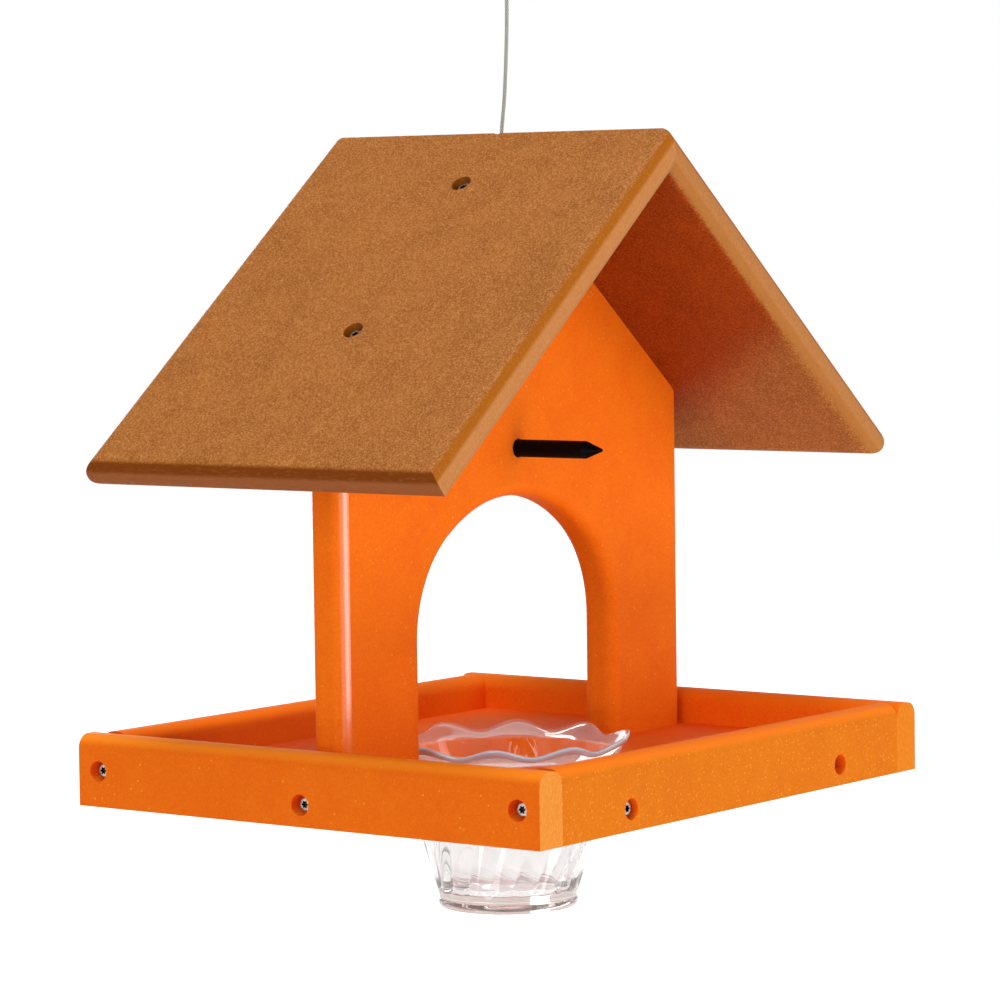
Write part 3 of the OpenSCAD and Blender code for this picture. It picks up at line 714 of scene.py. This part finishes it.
# Spike, metals and glass
METAL_BUMP = 0.00002
SCRATCH_SHADE = 0.72


def spike_material():
    n = Skin("spike_black")
    fine = n.noise(n.place, scale=900, detail=3, rough=0.6)
    colour = n.mix(n.ramp(fine, 0.35, 0.65), linear(2, 2, 3), linear(8, 7, 8))
    return n.set(Base_Color=colour, Roughness=n.ramp(fine, 0.3, 0.7, 0.42, 0.56),
                 Normal=n.bump(fine, distance=0.00003), Specular_IOR_Level=0.06)


def metal_material(name, tone, rough, scratch):
    """Metal of one tone, with darker scratches that run as scratch stretches them."""
    n = Skin(name)
    lines = n.streaks(scratch)
    spots = n.noise(n.place, scale=700, detail=2, rough=0.5)
    darker = [SCRATCH_SHADE * t for t in tone]
    colour = n.mix(n.ramp(lines, 0.35, 0.65), linear(*tone), linear(*darker))
    return n.set(Base_Color=colour, Roughness=n.ramp(spots, 0.35, 0.65, rough - 0.06, rough + 0.08),
                 Normal=n.bump(lines, METAL_BUMP), Metallic=1.0)


def rope_material():
    """Bright crowns of the strands over painted shade in the grooves between them."""
    n = Skin("rope_steel")
    lines = n.noise(n.place, scale=1800, detail=2, rough=0.5)
    shade = n.ramp(n.math("ADD", n.attribute("crown"), n.math("MULTIPLY", lines, 0.2)), 0.5, 1.08)
    return n.set(Base_Color=n.mix(shade, linear(22, 21, 18), linear(200, 198, 188)), Metallic=1.0,
                 Roughness=n.ramp(lines, 0.35, 0.65, 0.3, 0.42), Normal=n.bump(lines, METAL_BUMP))


# How clear the glass is in its foot, in its brim and on its lip, and how thin the brim looks
FOOT_CLEAR, BRIM_CLEAR, LIP_CLEAR = 0.93, 0.87, 0.04
BRIM_THIN = 0.5
FOOT_LOW, FOOT_HIGH = UNDERSIDE - 0.037, UNDERSIDE - 0.008
BRIM_LOW, BRIM_HIGH = FLOOR_TOP - 0.0005, FLOOR_TOP + 0.001
GLASS_TONES = (linear(238, 238, 238), linear(234, 234, 234))
# White of the brim, shown by its unclear share: a faint painted reflection veil.
BRIM_PAINTED_VEIL = linear(255, 255, 255)
# Grey-blue of the lip seen from outside, nearly all diffuse by LIP_CLEAR: a painted reflection.
LIP_PAINTED_REFLECTION = (linear(202, 238, 255), linear(186, 226, 252))
GLASS_STAIN, STAIN_DENSITY = (0.59, 0.31, 0.2, 1), 10.0
FALLING_TINT = (0.99, 0.985, 0.98, 1)


def glass_material():
    """Pressed glass. Light that falls through it goes on to what lies behind, and a thick part of
    it shows its faint stain. The foot is a little milky, and the flared brim over the tray's floor is
    thin and carries a faint white veil of painted reflection. The lip carries a grey-blue painted
    reflection where it is seen from outside, and lets light straight on from inside."""
    n = Skin("cup_glass")
    wave = n.noise(n.place, scale=60, detail=2, rough=0.5)
    swirl = n.ramp(wave, 0.3, 0.7)
    height = n.part(n.place, 2)
    brim = n.ramp(height, BRIM_LOW, BRIM_HIGH)
    outside = n.math("MULTIPLY", n.attribute("lip"), n.math("SUBTRACT", 1.0, n.backfacing))
    # The brim's white is a painted reflection veil; the lip seen from outside takes a grey-blue painted
    # reflection.
    colour = n.mix(brim, n.mix(swirl, *GLASS_TONES), BRIM_PAINTED_VEIL)
    colour = n.mix(outside, colour, n.mix(swirl, *LIP_PAINTED_REFLECTION))
    clear = n.ramp(height, FOOT_LOW, FOOT_HIGH, FOOT_CLEAR, 1.0)
    clear = n.math("ADD", clear, n.math("MULTIPLY", brim, BRIM_CLEAR - 1.0))
    clear = n.math("ADD", clear, n.math("MULTIPLY", outside, LIP_CLEAR - BRIM_CLEAR))
    n.set(Base_Color=colour, Roughness=n.ramp(wave, 0.3, 0.7, 0.0, 0.01),
          Normal=n.bump(wave, distance=0.0006, strength=0.12), Transmission_Weight=clear, IOR=1.5,
          Specular_IOR_Level=0.25, Coat_Weight=outside, Coat_IOR=1.9, Coat_Roughness=0.08)
    thin = n.math("SUBTRACT", BRIM_THIN, n.math("MULTIPLY", outside, BRIM_THIN))
    falling = n.add("LightPath").outputs["Is Shadow Ray"]
    straight = n.math("MAXIMUM", falling, n.math("MULTIPLY", brim, thin))
    passing = n.add("BsdfTransparent", Color=FALLING_TINT)
    both = n.add("MixShader", Fac=straight)
    n.link(n.bsdf.outputs[0], both.inputs[1])
    n.link(passing.outputs[0], both.inputs[2])
    inside = n.add("VolumeAbsorption", Color=GLASS_STAIN, Density=STAIN_DENSITY)
    n.fill(n.tree.nodes["Material Output"], Surface=both.outputs[0], Volume=inside.outputs[0])
    return n.mat


STEEL = metal_material("screw_steel", (205, 203, 200), 0.28, (2500, 300, 2500))
# Dark steel for the drive recess: painted shade in the recess.
DRIVE_PAINTED_SHADE = metal_material("drive_shade_steel", (58, 50, 46), 0.5, (2500, 2500, 2500))
SLEEVE = metal_material("sleeve_metal", (190, 192, 195), 0.35, (1500, 1500, 300))
for obj in screw_sets:
    obj.data.materials.append(STEEL)
    obj.data.materials.append(DRIVE_PAINTED_SHADE)
repaint("stop_washer", STEEL)
repaint("loop_sleeve", SLEEVE)
repaint("rope_stop", SLEEVE)
repaint("orange_spike", spike_material())
wire_rope.data.materials.append(rope_material())
cup.data.materials.append(glass_material())

# Floor and world
FLOOR_Z = -1.65
FLOOR_HALF = 14.0
FLOOR_GLOW, GLOW_FROM, GLOW_TO = 0.45, 1.7, 4.5
WORLD_LIGHT = 0.42
CEILING, CEILING_FROM, CEILING_TO = 0.3, 0.15, 0.55


def seen_directly(n):
    """1 for rays that show the backdrop itself: from the camera, in gloss and through glass."""
    rays = n.add("LightPath").outputs
    bounced = n.math("MAXIMUM", rays["Is Glossy Ray"], rays["Is Transmission Ray"])
    return n.math("MAXIMUM", rays["Is Camera Ray"], bounced)


def floor_material():
    """White, with a glow of its own that grows far out, where it meets the backdrop."""
    mat = bpy.data.materials.new("floor_white")
    mat.use_nodes = True
    mat.node_tree.nodes.clear()
    n = Nodes(mat.node_tree)
    diffuse = n.add("BsdfDiffuse", Color=(0.8, 0.8, 0.8, 1))
    reach = n.vector_math("LENGTH", n.add("TexCoord").outputs["Object"])
    far = n.ramp(reach, GLOW_FROM, GLOW_TO, FLOOR_GLOW, 1.0)
    glow = n.add("Emission", Strength=n.math("MULTIPLY", seen_directly(n), far))
    both = n.add("AddShader")
    n.link(diffuse.outputs[0], both.inputs[0])
    n.link(glow.outputs[0], both.inputs[1])
    n.add("OutputMaterial", Surface=both.outputs[0])
    return mat


def studio_world():
    """White where it is seen, with a darker ceiling in gloss and glass, and an even light elsewhere."""
    world = bpy.data.worlds.new("studio")
    world.use_nodes = True
    world.node_tree.nodes.clear()
    n = Nodes(world.node_tree)
    level = n.ramp(seen_directly(n), 0.0, 1.0, WORLD_LIGHT, 1.0)
    height = n.part(n.add("TexCoord").outputs["Generated"], 2)
    ceiling = n.ramp(height, CEILING_FROM, CEILING_TO, 1.0, CEILING)
    shown = n.math("MAXIMUM", n.add("LightPath").outputs["Is Camera Ray"], ceiling)
    strength = n.math("MAXIMUM", n.math("MULTIPLY", level, shown), WORLD_LIGHT)
    sky = n.add("Background", Color=(1, 1, 1, 1), Strength=strength)
    n.add("OutputWorld", Surface=sky.outputs[0])
    return world


floor = new_object("floor", [(-FLOOR_HALF, -FLOOR_HALF, FLOOR_Z), (FLOOR_HALF, -FLOOR_HALF, FLOOR_Z),
                             (FLOOR_HALF, FLOOR_HALF, FLOOR_Z), (-FLOOR_HALF, FLOOR_HALF, FLOOR_Z)],
                   [(0, 1, 2, 3)], smooth=False)
floor.data.materials.append(floor_material())
bpy.context.scene.world = studio_world()


# Soft lamps: name, place, what it points at, size, power
MIDDLE = (0, 0, -0.25)
LAMPS = [
    ("front", (0.54, -2.34, -0.1), MIDDLE, (1.6, 1.6), 28),
    ("low_front", (0.1, -1.7, -1.3), MIDDLE, (1.2, 0.6), 11.5),
    ("left", (-2.5, -0.5, 0.15), MIDDLE, (1.1, 2.4), 27),
    ("low_left", (-1.52, 0.2, -1.42), (0, 0, -0.3), (1.0, 0.3), 4),
    ("overhead", (-0.3, 0.1, 2.2), MIDDLE, (1.1, 1.1), 31),
    ("right", (1.5, 2.2, 0.0), MIDDLE, (0.6, 1.2), 12),
]


def softbox(name, place, target, size, power):
    data = bpy.data.lights.new(name, "AREA")
    data.shape = "RECTANGLE"
    data.size, data.size_y = size
    data.energy = power
    obj = linked_object(name, data)
    obj.location = place
    obj.rotation_mode = "QUATERNION"
    obj.rotation_quaternion = (Vector(target) - Vector(place)).to_track_quat("-Z", "Y")


for lamp in LAMPS:
    softbox(*lamp)
bpy.context.scene.view_settings.view_transform = "Standard"
